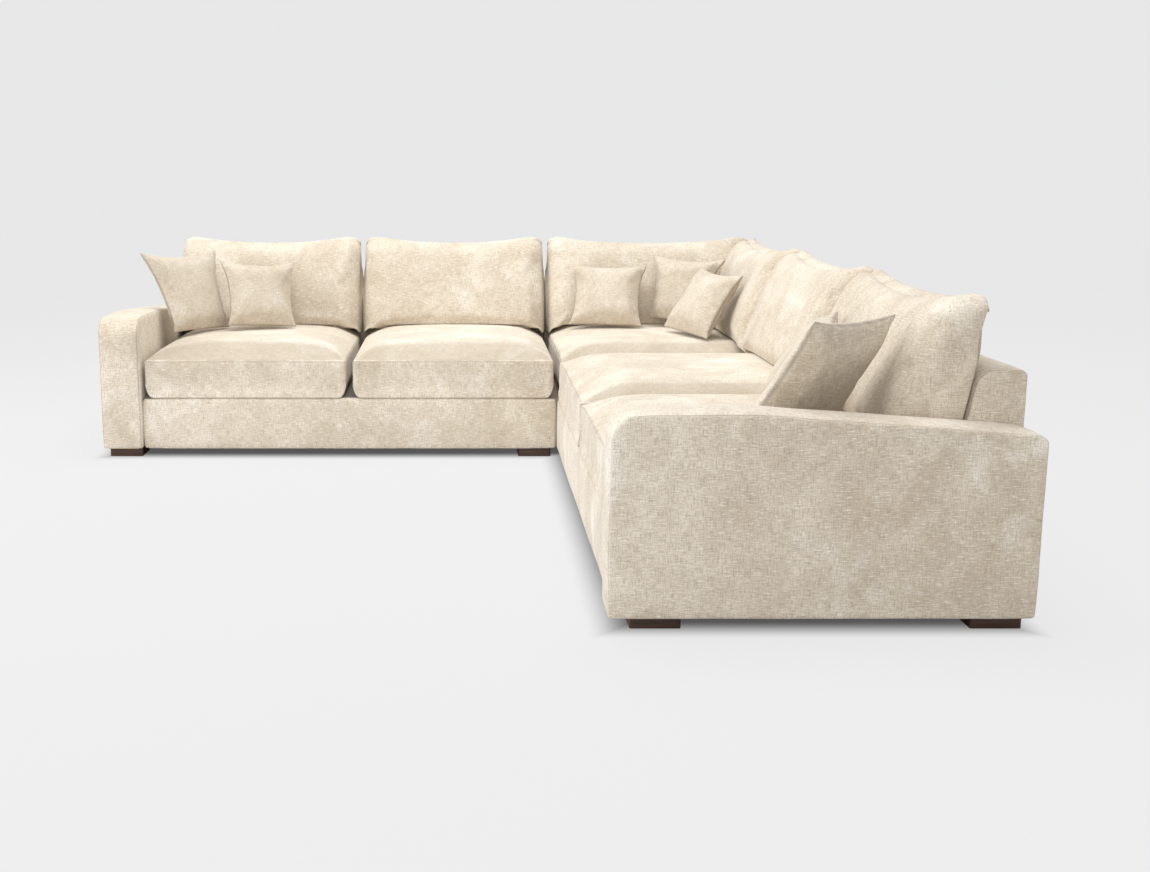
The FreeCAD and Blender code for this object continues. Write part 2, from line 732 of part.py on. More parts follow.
left_seat = value(LEFT_LENGTH) / 2
corner_seat = value("dims.corner_seat_length")
right_seat = (value(SIDE_LENGTH) - value("dims.back_foot_thick") - corner_seat) / 2
right_seats_from = value("dims.back_foot_thick") + corner_seat
round_below = value("dims.seat_corner_round")


def on_left_seat(start):
    return lambda piece: on_rear_run(piece, plus(ARM_INNER_X, start))


def on_side_seat(start):
    return lambda piece: on_side_run(piece, start)


seat_cushion("left_seat_cushion_outer", left_seat, 0, seam_top, 210, round_below, on_left_seat(0))
seat_cushion("left_seat_cushion_inner", left_seat, 0, seam_top, 210, round_below, on_left_seat(left_seat))
seat_cushion("corner_seat_cushion", value(BACK_FACE), value(BACK_FACE) - corner_seat + half_gap,
             crown_top - CROWN_DROPS[0], 230, 0, rear_of_corner)
seat_cushion("right_seat_cushion_rear", right_seat, 0, seam_top, 210, round_below, on_side_seat(right_seats_from))
seat_cushion("right_seat_cushion_front", right_seat, 0, seam_top, 210, round_below,
             on_side_seat(right_seats_from + right_seat))

# A back cushion leans on its back. Its top corners stand up as ears with the edge dipping between
# them, its front is crowned, and its underside follows the seat. From one section to the next each
# side of the outline keeps its direction, so that the loft's faces stay flat.
FRONT_SHARES = (0, 0.12, 0.3, 0.5, 0.7, 0.86, 1)


def meeting(from_a, along_a, from_b, along_b):
    """where two lines in an upright section meet"""
    across = along_a.y * along_b.z - along_a.z * along_b.y
    reach = ((from_b.y - from_a.y) * along_b.z - (from_b.z - from_a.z) * along_b.y) / across
    return from_a + along_a * reach


def back_section(x, low, top, swell):
    slope = (value("dims.back_foot_thick") - value("dims.back_head_thick")) / (
        value("dims.back_top") - value("dims.back_lean_start"))
    seat = crown_top + 2
    base = value("dims.back_cushion_front") + value("dims.back_cushion_base")
    lean = Vector(0, slope, 1)
    rear_low = Vector(x, base, seat) + lean * (low - seat)
    rear_top = Vector(x, base, seat) + lean * (top - seat)
    crest = rear_top + Vector(0, -38, 6)
    foot = Vector(x, value("dims.back_cushion_front"), seat)
    head = Vector(x, base, seat) + lean * (head_top - seat) - Vector(0, value("dims.back_cushion_head"), 8)
    bulge = value("dims.back_cushion_crown")
    front = []
    for share in FRONT_SHARES:
        bow = 4 * share * (1 - share) * bulge
        front.append(foot + (head - foot) * share + Vector(0, -0.9 * bow - swell, 0.3 * bow))
    first = meeting(front[0], front[1] - front[0], Vector(x, 0, low), Vector(0, 1, 0))
    last = meeting(front[-1], front[-1] - front[-2], crest, Vector(0, -1, -0.25))
    outline = [rear_low, rear_top, crest, last] + front[-2:0:-1] + [first]
    return Part.makePolygon(outline + [rear_low])


def back_cushion(name, width, put):
    swell = value("dims.back_cushion_swell")
    sections = [back_section(x, crown_top - CROWN_DROPS[number] + 2, head_top - EAR_DROPS[number],
                             swell - SWELL_LOSSES[number]) for x, number in both_sides(width)]
    return soft_piece(name, flat_where_flat(Part.makeLoft(sections, True, True)), put)


def mitred_back_cushion(name, width, corner_on_left, put):
    """a back cushion for the corner, cut on the upright plane halfway between the two backs"""
    depth = value(BASE_DEPTH)
    swell = value("dims.back_cushion_swell")
    stations = [(half_gap + step, crown_top - CROWN_DROPS[number] + 2, head_top - EAR_DROPS[number],
                 swell - SWELL_LOSSES[number]) for number, step in enumerate(SIDE_STEPS)]
    for share, drop, loss in ((0.5, 30, 0), (0.68, 24, 2), (0.82, 12, 5), (0.93, 3, 9), (1, 0, 12)):
        stations.append((width * share, crown_top + 2, head_top - drop, swell - loss))
    if corner_on_left:
        stations = [(width - x, low, high, out) for x, low, high, out in reversed(stations)]
    cushion = flat_where_flat(Part.makeLoft([back_section(*station) for station in stations], True, True))
    clear = half_gap * math.sqrt(2)
    if corner_on_left:
        start = depth - corner_strip + clear
        plan = [(start, 0), (start - 2 * depth, 2 * depth), (-2 * depth, 2 * depth), (-2 * depth, 0)]
    else:
        plan = [(-clear, 0), (2 * depth - clear, 2 * depth), (4 * depth, 2 * depth), (4 * depth, 0)]
    corners = [Vector(x, y, 0) for x, y in plan]
    waste = Part.Face(Part.makePolygon(corners + [corners[0]])).extrude(Vector(0, 0, 1000))
    return soft_piece(name, cushion.cut(waste).Solids[0], put)


back_cushion("left_back_cushion_outer", left_seat, on_left_seat(0))
back_cushion("left_back_cushion_inner", left_seat, on_left_seat(left_seat))
corner_strip = 90
mitred_back_cushion("corner_back_cushion_rear", value(BASE_DEPTH) - corner_strip, False, rear_of_corner)
mitred_back_cushion("corner_back_cushion_side", right_seats_from - corner_strip, True, on_side_seat(corner_strip))
back_cushion("right_back_cushion_rear", right_seat, on_side_seat(right_seats_from))
back_cushion("right_back_cushion_front", right_seat, on_side_seat(right_seats_from + right_seat))

# Scatter cushions: knife-edged squares with pointed corners, sides drawn in and both faces crowned.
# Each leans on what is behind it, so its width shows less at the foot than at the head.
CROWN_LEVELS = ((0.0, 1.0), (0.3, 0.97), (0.55, 0.89), (0.76, 0.76), (0.9, 0.58), (0.98, 0.36), (1.0, 0.14))
DRAWN_IN = ((0.0, 0.0), (0.2, 0.64), (0.5, 1.0), (0.8, 0.64))


def scatter_outline(head, foot, height, draw, scale, offset):
    tips = [Vector(-foot / 2, 0, -height / 2), Vector(foot / 2, 0, -height / 2),
            Vector(head / 2, 0, height / 2), Vector(-head / 2, 0, height / 2)]
    points = []
    for index, tip in enumerate(tips):
        following = tips[(index + 1) % 4]
        inward = (following - tip).cross(Vector(0, 1, 0))
        inward.normalize()
        depth = 0 if index == 0 else draw
        for share, amount in DRAWN_IN:
            points.append(tip + (following - tip) * share - inward * (depth * amount))
    points = [point * scale + Vector(0, offset, 0) for point in points]
    return Part.makePolygon(points + [points[0]])


def scatter_cushion(name, head, foot, height, thick, middle, yaw, lean, roll):
    """yaw turns it about the upright axis, lean tips its head back and roll turns it in its own plane"""
    draw = 0.055 * head
    levels = [(-share, scale) for share, scale in reversed(CROWN_LEVELS[1:])] + list(CROWN_LEVELS)
    outlines = [scatter_outline(head, foot, height, draw, scale, share * thick / 2) for share, scale in levels]
    piece = doc.addObject("Part::Feature", name)
    piece.Shape = flat_where_flat(Part.makeLoft(outlines, True, True))
    turn = FreeCAD.Rotation(Vector(0, 0, 1), yaw).multiply(FreeCAD.Rotation(Vector(1, 0, 0), -lean))
    turn = turn.multiply(FreeCAD.Rotation(Vector(0, 1, 0), roll))
    piece.Placement = FreeCAD.Placement(Vector(*middle), turn)
    return keep(piece, name)


scatter_cushion("left_small_scatter_cushion", 366, 331, 330, 92, (-914, 1170, 630), 23, 23.5, 3.5)
scatter_cushion("left_large_scatter_cushion", 462, 346, 392, 92, (-1214, 1094, 651), 53, 23, 1)
scatter_cushion("corner_small_left_scatter_cushion", 362, 348, 330, 92, (670, 1246, 618), -12, 30, 0)
scatter_cushion("corner_large_scatter_cushion", 398, 274, 325, 82, (1004, 1220, 649.5), -37, 19, 2)
scatter_cushion("corner_small_right_scatter_cushion", 356, 378, 335, 88, (1050, 896, 619), -67, 33, 3)
scatter_cushion("right_small_scatter_cushion", 362, 350, 354, 92, (1057, -866, 611.5), -103.5, 36.5, 0)
scatter_cushion("right_large_scatter_cushion", 375, 440, 404, 100, (990, -1334, 641), -142, 33, -1)

# Every object must be sound before anything is written.
doc.recompute()
for item in doc.Objects:
    if "Invalid" in item.State or "Error" in item.State:
        raise ValueError("%s is not sound: %s" % (item.Label, item.State))
for piece in pieces:
    if piece.Shape.isNull() or not piece.Shape.isValid():
        raise ValueError("%s has no valid shape" % piece.Label)
whole = FreeCAD.BoundBox()
for piece in pieces:
    piece.Shape.exportStep("parts/%s.step" % piece.Label)
    whole.add(piece.Shape.BoundBox)
print("%d pieces, %.1f x %.1f x %.1f mm" % (len(pieces), whole.XLength, whole.YLength, whole.ZLength))
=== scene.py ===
import bmesh
import bpy
import math
from mathutils import Matrix, Vector
from mathutils import noise
from mathutils.kdtree import KDTree


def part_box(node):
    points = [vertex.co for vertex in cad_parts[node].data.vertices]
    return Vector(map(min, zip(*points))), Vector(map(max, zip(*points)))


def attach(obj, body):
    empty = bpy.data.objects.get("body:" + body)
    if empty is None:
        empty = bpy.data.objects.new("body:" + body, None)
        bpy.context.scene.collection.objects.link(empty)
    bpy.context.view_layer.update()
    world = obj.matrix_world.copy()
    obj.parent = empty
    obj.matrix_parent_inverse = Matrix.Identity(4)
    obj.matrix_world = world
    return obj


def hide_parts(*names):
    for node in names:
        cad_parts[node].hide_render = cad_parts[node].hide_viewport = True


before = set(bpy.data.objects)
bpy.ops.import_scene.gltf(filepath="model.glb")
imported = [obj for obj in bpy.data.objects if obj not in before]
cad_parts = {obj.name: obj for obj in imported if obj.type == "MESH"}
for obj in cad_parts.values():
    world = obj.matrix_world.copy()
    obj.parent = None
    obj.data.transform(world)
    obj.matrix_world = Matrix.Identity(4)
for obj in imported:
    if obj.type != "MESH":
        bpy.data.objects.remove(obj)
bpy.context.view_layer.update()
scene = bpy.context.scene

# The studio floor and wall: one pale painted sheet that curves up behind the sofa, wide enough to
# fill the picture. The camera sees it lit from within, as bright as a lit backdrop, and this glow is
# turned down under the sofa, a painted soft shadow. All other light meets plain matt paint, which
# keeps the shadow that the sofa drops.


def linear(hex_colour):
    """an sRGB hex colour as linear red, green, blue and alpha"""
    parts = [int(hex_colour[i:i + 2], 16) / 255 for i in (1, 3, 5)]
    return [c / 12.92 if c <= 0.04045 else ((c + 0.055) / 1.055) ** 2.4 for c in parts] + [1.0]


def add_node(material, kind, links=None, **settings):
    """adds a node, sets its properties and sockets, and links sockets by name or number"""
    node = material.node_tree.nodes.new(kind)
    for key, setting in settings.items():
        if hasattr(node, key):
            setattr(node, key, setting)
        else:
            socket = key.replace("_", " ").capitalize() if key.islower() else key
            node.inputs[socket].default_value = setting
    for socket, source in (links or {}).items():
        material.node_tree.links.new(source, node.inputs[socket])
    return node


def new_material(name):
    """a material with no nodes, which finish_material completes"""
    material = bpy.data.materials.new(name)
    material.use_nodes = True
    material.node_tree.nodes.clear()
    return material


def pick_none():
    """leaves no object selected"""
    bpy.ops.object.select_all(action="DESELECT")


def finish_material(material, shader):
    """joins a shader to the material's output"""
    output = material.node_tree.nodes.new("ShaderNodeOutputMaterial")
    material.node_tree.links.new(shader.outputs[0], output.inputs["Surface"])


sheet_size = (40, 24, 1)
sheet_forward = 3
bend_steps = 12
bend_step = 0.65
wall_height = 12
pick_none()
bpy.ops.mesh.primitive_plane_add(size=1, location=(0, 0, 0))
studio = bpy.context.object
studio.name = "studio_sheet"
bpy.ops.object.mode_set(mode="EDIT")
bpy.ops.transform.resize(value=sheet_size)
bpy.ops.transform.translate(value=(0, -sheet_forward, 0))
sheet = bmesh.from_edit_mesh(studio.data)
for edge in sheet.edges:
    edge.select = all(vertex.co.y > 0 for vertex in edge.verts)
sheet.select_flush_mode()
bmesh.update_edit_mesh(studio.data)
for step in range(bend_steps):
    angle = math.radians(90 / bend_steps * (step + 0.5))
    bpy.ops.mesh.extrude_region_move(TRANSFORM_OT_translate={
        "value": (0, bend_step * math.cos(angle), bend_step * math.sin(angle))})
bpy.ops.mesh.extrude_region_move(TRANSFORM_OT_translate={"value": (0, 0, wall_height)})
bpy.ops.object.mode_set(mode="OBJECT")
bpy.ops.object.shade_smooth()
studio_paint = new_material("matt_studio_paint")
paint = add_node(studio_paint, "ShaderNodeBsdfDiffuse", Color=linear("#d9d9da"))
seen_paint = add_node(studio_paint, "ShaderNodeBsdfDiffuse", Color=linear("#525254"))
sheet_place = add_node(studio_paint, "ShaderNodeTexCoord").outputs["Object"]
# The sofa's two runs, each as a middle and half its size, taller than anything on the sheet.
rear_run_shadow = ((0, 1.113, 0), (1.5, 0.55, 9))
side_run_shadow = ((0.935, 0, 0), (0.565, 1.66, 9))
outside = None
for middle, half in (rear_run_shadow, side_run_shadow):
    away = add_node(studio_paint, "ShaderNodeVectorMath", {0: sheet_place}, operation="SUBTRACT")
    away.inputs[1].default_value = middle
    away = add_node(studio_paint, "ShaderNodeVectorMath", {0: away.outputs[0]}, operation="ABSOLUTE")
    away = add_node(studio_paint, "ShaderNodeVectorMath", {0: away.outputs[0]}, operation="SUBTRACT")
    away.inputs[1].default_value = half
    across = add_node(studio_paint, "ShaderNodeSeparateXYZ", {0: away.outputs[0]})
    edge = add_node(studio_paint, "ShaderNodeMath", {0: across.outputs[0], 1: across.outputs[1]},
                    operation="MAXIMUM")
    outside = edge if outside is None else add_node(
        studio_paint, "ShaderNodeMath", {0: outside.outputs[0], 1: edge.outputs[0]}, operation="MINIMUM")
# Painted shadow: the glow fades to its least over the sofa's outline, a soft dark under the sofa.
glow_with_painted_shadow = add_node(studio_paint, "ShaderNodeMapRange", {"Value": outside.outputs[0]},
                      interpolation_type="SMOOTHSTEP")
for socket, number in (("From Min", -0.10), ("From Max", 0.05), ("To Min", 0.10), ("To Max", 0.82)):
    glow_with_painted_shadow.inputs[socket].default_value = number
glow = add_node(studio_paint, "ShaderNodeEmission", {"Strength": glow_with_painted_shadow.outputs["Result"]},
                Color=linear("#f6f6f6"))
seen_sheet = add_node(studio_paint, "ShaderNodeAddShader", {0: seen_paint.outputs[0], 1: glow.outputs[0]})
ray = add_node(studio_paint, "ShaderNodeLightPath")
finish_material(studio_paint, add_node(studio_paint, "ShaderNodeMixShader", {
    0: ray.outputs["Is Camera Ray"], 1: paint.outputs[0], 2: seen_sheet.outputs[0]}))
studio.data.materials.append(studio_paint)

# The camera stands in front of the sofa, well above its seats, and looks a little down. The
# picture's centre is left of the middle of the photograph's frame, so the lens is shifted.
photograph_width_in_pixels = 1150
focal_length_in_pixels = 1385
sensor_width = 36
camera_place = (-0.007, -5.120, 1.205)
degrees_down = 11.09
pick_none()
bpy.ops.object.camera_add(location=camera_place, rotation=(math.radians(90 - degrees_down), 0, 0))
camera = bpy.context.object
camera.data.sensor_width = sensor_width
camera.data.lens = focal_length_in_pixels / photograph_width_in_pixels * sensor_width
camera.data.shift_x = 0.10
camera.data.clip_end = 100
scene.camera = camera

# Light: a wide soft box overhead, weaker ones from the left and the front, and an even pale
# surround, as in a white studio.
scene.view_settings.view_transform = "Standard"
surround = bpy.data.worlds.new("studio_surround")
scene.world = surround
surround.use_nodes = True
surround.node_tree.nodes["Background"].inputs["Color"].default_value = linear("#f6f5f3")
surround.node_tree.nodes["Background"].inputs["Strength"].default_value = 0.60
for name, spot, aim, size, power in (
        ("soft_box_above", (0.0, 0.7, 4.6), (0.2, 0.4, 0.4), 4.0, 195),
        ("soft_box_left", (-4.8, -0.8, 2.2), (0.8, 0.2, 0.4), 2.6, 108),
        ("soft_box_front", (-1.2, -6.5, 2.6), (0.3, 0, 0.4), 3.5, 96)):
    pick_none()
    bpy.ops.object.light_add(type="AREA", location=spot)
    lamp = bpy.context.object
    lamp.name = name
    lamp.data.size = size
    lamp.data.energy = power
    lamp.rotation_euler = (Vector(aim) - Vector(spot)).to_track_quat("-Z", "Y").to_euler()

# Upholstery cloth: a heavy flat-woven cotton and viscose with a crushed, washed pile. Soft cloudy
# blotches of cream and taupe lie under short slubs that run with and across the thread, and the
# flattened pile gives a weak sheen. The thread is drawn 2.5 mm wide, coarser than real, to show.
upholstery = new_material("mottled_woven_upholstery")


def weave_upholstery(cloth):
    """mixes the cloth's cloudy ground, its slubs and its thread from the cloth map, in metres"""
    place = add_node(cloth, "ShaderNodeTexCoord")
    thread_map = add_node(cloth, "ShaderNodeUVMap", uv_map="cloth")
    # Blotches: how many to a metre, their detail, the reach and ends of their tones, their weight.
    colour = None
    for scale, detail, low, high, dark, pale, weight in (
            (3.4, 4.0, 0.41, 0.60, "#cdbfaa", "#f4ebdb", 1.0),
            (9.5, 6.0, 0.42, 0.62, "#c6b8a4", "#f5eddf", 0.40),
            (4.9, 3.0, 0.56, 0.66, "#d9cdba", "#fbf7ef", 0.34)):
        clouds = add_node(cloth, "ShaderNodeTexNoise", {"Vector": place.outputs["Object"]},
                          Scale=scale, Detail=detail, Roughness=0.6, Distortion=0.5)
        tone = add_node(cloth, "ShaderNodeValToRGB", {"Fac": clouds.outputs["Fac"]})
        tone.color_ramp.elements[0].position = low
        tone.color_ramp.elements[0].color = linear(dark)
        tone.color_ramp.elements[1].position = high
        tone.color_ramp.elements[1].color = linear(pale)
        if colour is None:
            colour = tone.outputs[0]
            continue
        mixed = add_node(cloth, "ShaderNodeMix", {6: colour, 7: tone.outputs[0]}, data_type="RGBA")
        mixed.inputs[0].default_value = weight
        colour = mixed.outputs[2]
    # Slubs: how many to a metre in the cloth's two directions, their reach, strength and dye.
    threads = []
    for across, along, low, high, strength, dye in (
            (400.0, 32.0, 0.49, 0.72, 0.66, "#a3947f"), (32.0, 400.0, 0.49, 0.72, 0.58, "#a3947f"),
            (40.0, 300.0, 0.53, 0.74, 0.72, "#fdfaf3"), (210.0, 180.0, 0.48, 0.74, 0.50, "#ad9f8b")):
        stretched = add_node(cloth, "ShaderNodeMapping", {"Vector": thread_map.outputs["UV"]},
                             Scale=(across, along, 1))
        slub = add_node(cloth, "ShaderNodeTexNoise", {"Vector": stretched.outputs["Vector"]},
                        Scale=1.0, Detail=2.0, Roughness=0.6)
        reach = add_node(cloth, "ShaderNodeMapRange", {"Value": slub.outputs["Fac"]})
        for socket, number in (("From Min", low), ("From Max", high), ("To Min", 0.0),
                               ("To Max", strength)):
            reach.inputs[socket].default_value = number
        dyed = add_node(cloth, "ShaderNodeMix", {0: reach.outputs["Result"], 6: colour}, data_type="RGBA")
        dyed.inputs[7].default_value = linear(dye)
        colour = dyed.outputs[2]
        threads.append(slub.outputs["Fac"])
    # Some cushions are darkened by a set share, and the seats' slopes that face the front by painted
    # shade; the sewn lines are darkened too, painted shade as in their grooves.
    seam = add_node(cloth, "ShaderNodeAttribute", attribute_name="seam")
    tone_and_painted_shade = add_node(cloth, "ShaderNodeAttribute", attribute_name="tone_and_painted_shade")
    darkened_and_shaded = add_node(cloth, "ShaderNodeMix", {0: tone_and_painted_shade.outputs["Fac"], 6: colour}, data_type="RGBA")
    # The darker tone: a set darkening per kind of cushion, and painted shade on the seats' front slopes.
    darkened_and_shaded.inputs[7].default_value = linear("#a89b89")
    colour = darkened_and_shaded.outputs[2]
    side = add_node(cloth, "ShaderNodeAttribute", attribute_name="seam_side")
    apart = add_node(cloth, "ShaderNodeMath", {0: side.outputs["Fac"]}, operation="SUBTRACT")
    apart.inputs[1].default_value = 1.0
    off_line = add_node(cloth, "ShaderNodeMath", {0: apart.outputs[0]}, operation="ABSOLUTE")
    sewn = add_node(cloth, "ShaderNodeMapRange", {"Value": off_line.outputs[0]})
    for socket, number in (("From Min", 0.008), ("From Max", 0.026), ("To Min", 0.55), ("To Max", 0.0)):
        sewn.inputs[socket].default_value = number
    either = add_node(cloth, "ShaderNodeMath", {0: seam.outputs["Fac"], 1: sewn.outputs["Result"]},
                      operation="MAXIMUM")
    # Painted shade: the sewn lines darken as if shaded in their grooves.
    seam_shaded_colour = add_node(cloth, "ShaderNodeMix", {0: either.outputs[0], 6: colour}, data_type="RGBA")
    seam_shaded_colour.inputs[7].default_value = linear("#83766a")
    # Relief: the crossing threads, and small folds where a seam gathers the cloth.
    raised = add_node(cloth, "ShaderNodeMath", {0: threads[0], 1: threads[1]}, operation="ADD")
    weave = add_node(cloth, "ShaderNodeBump", {"Height": raised.outputs[0]}, Strength=0.30, Distance=0.0012)
    gathers = add_node(cloth, "ShaderNodeTexWave", {"Vector": place.outputs["Object"]},
                       bands_direction="DIAGONAL", Scale=7.5, Distortion=3.0, Detail=2.0)
    gathers.inputs["Detail Scale"].default_value = 1.2
    gathered = add_node(cloth, "ShaderNodeAttribute", attribute_name="gather")
    pull = add_node(cloth, "ShaderNodeMath", {0: gathers.outputs["Fac"], 1: gathered.outputs["Fac"]},
                    operation="MULTIPLY")
    folds = add_node(cloth, "ShaderNodeBump",
                     {"Height": pull.outputs[0], "Normal": weave.outputs["Normal"]},
                     Strength=0.8, Distance=0.004)
    shader = add_node(cloth, "ShaderNodeBsdfPrincipled",
                      {"Base Color": seam_shaded_colour.outputs[2], "Normal": folds.outputs["Normal"]})
    shader.inputs["Roughness"].default_value = 0.88
    shader.inputs["Specular IOR Level"].default_value = 0.25
    shader.inputs["Sheen Weight"].default_value = 0.22
    shader.inputs["Sheen Roughness"].default_value = 0.45
    finish_material(cloth, shader)


weave_upholstery(upholstery)


def cloth_map(obj):
    """lays the cloth over the piece in metres, each face along the two axes that it faces least"""
    layer = obj.data.uv_layers.new(name="cloth")
    for face in obj.data.polygons:
        normal = face.normal
        heading = max(range(3), key=lambda axis: abs(normal[axis]))
        first, second = ((1, 2), (0, 2), (0, 1))[heading]
        for loop in face.loop_indices:
            spot = obj.data.vertices[obj.data.loops[loop].vertex_index].co
            layer.data[loop].uv = (spot[first], spot[second])


def dress(obj, nodes, body):
    """gives a finished soft piece its cloth and its body, and hides the CAD nodes that it stands for"""
    obj.data.materials.clear()
    obj.data.materials.append(upholstery)
    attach(obj, body)
    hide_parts(*nodes)


# The arms: board boxes under foam, each covered in one strip over its front and top with a flat
# panel sewn to either side. The top runs level from the front, then falls in a straight slope.
def soften(obj, voxel, puff, sewn_ends, rounds=3):
    """turns a hard block into a padded one: even faces, then each face swells between its edges;
    a seam, drawn as a line of painted shade, runs round each sewn end, given as an axis and -1 for
    its low or 1 for its high end"""
    remesh = obj.modifiers.new("even_faces", "REMESH")
    remesh.mode = "VOXEL"
    remesh.voxel_size = voxel
    smooth = obj.modifiers.new("soft_edges", "SMOOTH")
    smooth.factor = 0.5
    smooth.iterations = rounds
    bpy.context.view_layer.objects.active = obj
    for modifier in [m.name for m in obj.modifiers]:
        bpy.ops.object.modifier_apply(modifier=modifier)
    low = Vector([min(v.co[a] for v in obj.data.vertices) for a in range(3)])
    high = Vector([max(v.co[a] for v in obj.data.vertices) for a in range(3)])
    size = high - low
    swell_reach = 0.16
    shifts = []
    for vertex in obj.data.vertices:
        spot, normal = vertex.co, vertex.normal
        amount = 0
        for axis in range(3):
            share = 1.0
            for other in range(3):
                if other != axis:
                    edge = min(spot[other] - low[other], high[other] - spot[other])
                    share *= 1 - (1 - min(edge / min(swell_reach, size[other] / 2), 1)) ** 2
            amount += normal[axis] ** 2 * share
        uneven = noise.noise(spot * 5.0 + Vector((3.1, 7.7, 1.3))) * 0.6 + noise.noise(spot * 12.0) * 0.25
        shifts.append(normal * (puff * (amount + uneven * 0.5) - puff * 0.45))
    # The cloth darkens a line where this attribute passes 1, painted shade as in a seam's groove. It
    # is more inside, and less on an end.
    normals = [vertex.normal.copy() for vertex in obj.data.vertices]
    sides = obj.data.attributes.new("seam_side", "FLOAT", "POINT")
    seam_inset = 0.007
    past_seam = -0.012
    farthest = 0.1
    for vertex, shift, normal in zip(obj.data.vertices, shifts, normals):
        to_seam = farthest
        for axis, end in sewn_ends:
            inside = (high[axis] - vertex.co[axis]) if end > 0 else (vertex.co[axis] - low[axis])
            on_end = normal[axis] * end > 0.85
            to_seam = min(to_seam, past_seam if on_end else inside - seam_inset)
        sides.data[vertex.index].value = 1 + max(-farthest, to_seam) * 10
        vertex.co += shift
        vertex.co.z = max(vertex.co.z, low.z)
    pick_none()
    obj.select_set(True)
    bpy.ops.object.shade_smooth()
    cloth_map(obj)


def block(name, low, high):
    """a plain block of foam between two corners, open in edit mode"""
    pick_none()
    bpy.ops.mesh.primitive_cube_add(size=1, location=(0, 0, 0))
    made = bpy.context.object
    made.name = name
    bpy.ops.object.mode_set(mode="EDIT")
    bpy.ops.transform.resize(value=[high[a] - low[a] for a in range(3)])
    bpy.ops.transform.translate(value=[(high[a] + low[a]) / 2 for a in range(3)])
    return made


def choose(obj, wanted):
    """selects the vertices that pass a test, and the edges and faces between them"""
    mesh = bmesh.from_edit_mesh(obj.data)
    for item in list(mesh.faces) + list(mesh.edges) + list(mesh.verts):
        item.select = False
    for vertex in mesh.verts:
        vertex.select = wanted(vertex.co)
    mesh.select_mode = {"VERT"}
    mesh.select_flush_mode()
    bmesh.update_edit_mesh(obj.data)
    bpy.context.tool_settings.mesh_select_mode = (True, False, False)


def cut(point, normal):
    """cuts the whole block on a plane"""
    bpy.ops.mesh.select_all(action="SELECT")
    bpy.ops.mesh.bisect(plane_co=point, plane_no=normal)


def near(one, other, within=0.0015):
    """true where two places are the same, apart from a rounding"""
    return abs(one - other) < within


arm_front_round = 0.075
arm_rear_round = 0.030
arm_slope_start = 0.378
arm_fall = 0.054
for side, along in (("left", Vector((0, 1, 0))), ("right", Vector((1, 0, 0)))):
    low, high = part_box(side + "_arm_cover")
    arm = block(side + "_arm", low, high)
    axis = 1 if side == "left" else 0
    start, end = low[axis], high[axis]
    bend = along * (start + arm_slope_start)
    cut(bend, along)
    choose(arm, lambda spot: near(spot.z, high.z) and near(spot[axis], end))
    bpy.ops.transform.translate(value=(0, 0, -arm_fall))
    choose(arm, lambda spot: near(spot.z, high.z) and near(spot[axis], start))
    bpy.ops.mesh.bevel(offset=arm_front_round, segments=8, affect="EDGES")
    choose(arm, lambda spot: near(spot.z, high.z - arm_fall) and near(spot[axis], end))
    bpy.ops.mesh.bevel(offset=arm_rear_round, segments=5, affect="EDGES")
    bpy.ops.object.mode_set(mode="OBJECT")
    soften(arm, voxel=0.009, puff=0.007, sewn_ends=[(1 - axis, -1), (1 - axis, 1)])
    dress(arm, [side + "_arm_cover"], "sofa_frame")

# The backs: upright frames under foam, with an upright outer face and an inner face that leans
# back above the seats. The two that meet in the corner are cut on a mitre.
lean_start = 0.455
back_head = 0.134
back_foot = 0.1745
back_round = 0.045
outer_round = 0.018
free_ends = {"left": [(0, -1)], "corner": [], "right": [(1, -1)]}
runs = (
    ("left", Vector((0, 1, 0)), None),
    ("corner", Vector((0, 1, 0)), Vector((1, -1, 0))),
    ("right", Vector((1, 0, 0)), Vector((-1, 1, 0))),
)
for side, outward, mitre in runs:
    low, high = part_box(side + "_back_cover")
    axis = 1 if outward.y else 0
    back = block(side + "_back", low, high)
    cut(Vector((0, 0, lean_start)), Vector((0, 0, 1)))
    choose(back, lambda spot: near(spot.z, high.z) and near(spot[axis], low[axis]))
    bpy.ops.transform.translate(value=outward * (back_foot - back_head))
    head_front = low[axis] + back_foot - back_head
    choose(back, lambda spot: near(spot.z, high.z) and near(spot[axis], head_front))
    bpy.ops.mesh.bevel(offset=back_round, segments=6, affect="EDGES")
    choose(back, lambda spot: near(spot.z, high.z) and near(spot[axis], high[axis]))
    bpy.ops.mesh.bevel(offset=outer_round, segments=3, affect="EDGES")
    if mitre:
        bpy.ops.mesh.select_all(action="SELECT")
        corner = Vector((high.x, high.y, 0))
        bpy.ops.mesh.bisect(plane_co=corner, plane_no=mitre, use_fill=True, clear_outer=True)
    bpy.ops.object.mode_set(mode="OBJECT")
    soften(back, voxel=0.011, puff=0.006, sewn_ends=free_ends[side], rounds=2)
    dress(back, [side + "_back_cover"], "sofa_frame")

# The front borders: the padded fronts of the base, below the seats. The cloth is drawn over thin
# foam on the front rails and tacked below them.
border_round = 0.010
for side in ("left", "right"):
    low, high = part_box(side + "_front_border")
    front = block(side + "_front", low, high)
    bpy.ops.mesh.select_all(action="SELECT")
    bpy.ops.mesh.bevel(offset=border_round, segments=3, affect="EDGES")
    bpy.ops.object.mode_set(mode="OBJECT")
    soften(front, voxel=0.007, puff=0.005, sewn_ends=[])
    dress(front, [side + "_front_border"], "sofa_frame")


# The seat cushions: foam wrapped in fibre in a boxed cover. The top panel crowns up from a seam
# that runs all round, highest at the middle, and the lower front corners are rounded.
def steps_along(length, cell, edge=0.005):
    """places along a length, close together by each seam and even between"""
    inner = [edge, edge * 2.8]
    count = max(2, round((length - 2 * inner[-1]) / cell))
    even = [inner[-1] + (length - 2 * inner[-1]) * i / count for i in range(count + 1)]
    return [0.0, edge] + even + [length - edge, length]


